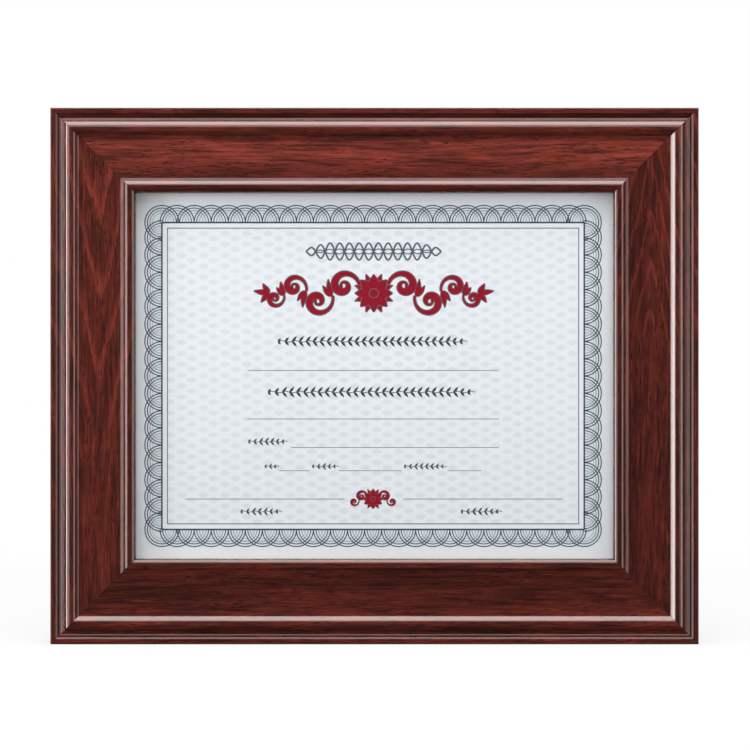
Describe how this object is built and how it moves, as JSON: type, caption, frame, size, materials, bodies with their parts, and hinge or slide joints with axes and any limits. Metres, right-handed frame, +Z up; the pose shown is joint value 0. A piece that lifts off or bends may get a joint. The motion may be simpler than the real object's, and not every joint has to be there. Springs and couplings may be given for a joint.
{
  "type": "certificate frame",
  "caption": "Landscape certificate frame: mitred wood-look moulding, glass, printed sheet and a back panel with turn buttons, easel leg and hangers.",
  "frame": {"origin": "under the middle of the bottom rail, half way through the frame's depth", "axes": "+X to the viewer's right across the width, +Y out of the back, +Z up; the front faces -Y"},
  "size_m": [0.362, 0.022, 0.2996],
  "materials": {
    "rail_wood": "dark red mahogany grain, satin",
    "clear_pane": "clear, polished",
    "certificate_paper": "matt paper with a printed border and tint",
    "grey_card": "matt grey card",
    "panel_board": "black-papered fibreboard, matt",
    "leg_board": "black-papered fibreboard, matt",
    "zinc_steel": "zinc-plated, satin",
    "bright_steel": "bright, satin"
  },
  "bodies": {
    "root": {"top_rail": "rail_wood", "bottom_rail": "rail_wood", "left_rail": "rail_wood", "right_rail": "rail_wood", "corner_v_nails": "bright_steel", "glass_pane": "clear_pane", "certificate_sheet": "certificate_paper", "backing_card": "grey_card", "back_panel": "panel_board", "turn_button_screws": "bright_steel", "hinge_panel_leaf": "zinc_steel", "hinge_pin": "bright_steel", "hinge_panel_rivets": "bright_steel", "sawtooth_hanger_top": "zinc_steel", "sawtooth_hanger_side": "zinc_steel", "hanger_nails": "bright_steel"},
    "easel": {"easel_leg": "leg_board", "hinge_leg_leaf": "zinc_steel", "hinge_leg_rivets": "bright_steel"},
    "button_top_left": {"turn_button_top_left": "zinc_steel"},
    "button_top_right": {"turn_button_top_right": "zinc_steel"},
    "button_bottom_left": {"turn_button_bottom_left": "zinc_steel"},
    "button_bottom_right": {"turn_button_bottom_right": "zinc_steel"},
    "button_left": {"turn_button_left": "zinc_steel"},
    "button_right": {"turn_button_right": "zinc_steel"}
  },
  "joints": [
    {"name": "easel_swing", "type": "hinge", "parent": "root", "child": "easel", "pos_m": [0, 0.00645, 0.2299], "axis": [1, 0, 0], "range_deg": [0, 25]},
    {"name": "button_top_left_turn", "type": "hinge", "parent": "root", "child": "button_top_left", "pos_m": [-0.08, 0.0056, 0.2669], "axis": [0, 1, 0], "continuous": true},
    {"name": "button_top_right_turn", "type": "hinge", "parent": "root", "child": "button_top_right", "pos_m": [0.08, 0.0056, 0.2669], "axis": [0, 1, 0], "continuous": true},
    {"name": "button_bottom_left_turn", "type": "hinge", "parent": "root", "child": "button_bottom_left", "pos_m": [-0.08, 0.0056, 0.0327], "axis": [0, 1, 0], "continuous": true},
    {"name": "button_bottom_right_turn", "type": "hinge", "parent": "root", "child": "button_bottom_right", "pos_m": [0.08, 0.0056, 0.0327], "axis": [0, 1, 0], "continuous": true},
    {"name": "button_left_turn", "type": "hinge", "parent": "root", "child": "button_left", "pos_m": [-0.1483, 0.0056, 0.1498], "axis": [0, 1, 0], "continuous": true},
    {"name": "button_right_turn", "type": "hinge", "parent": "root", "child": "button_right", "pos_m": [0.1483, 0.0056, 0.1498], "axis": [0, 1, 0], "continuous": true}
  ]
}
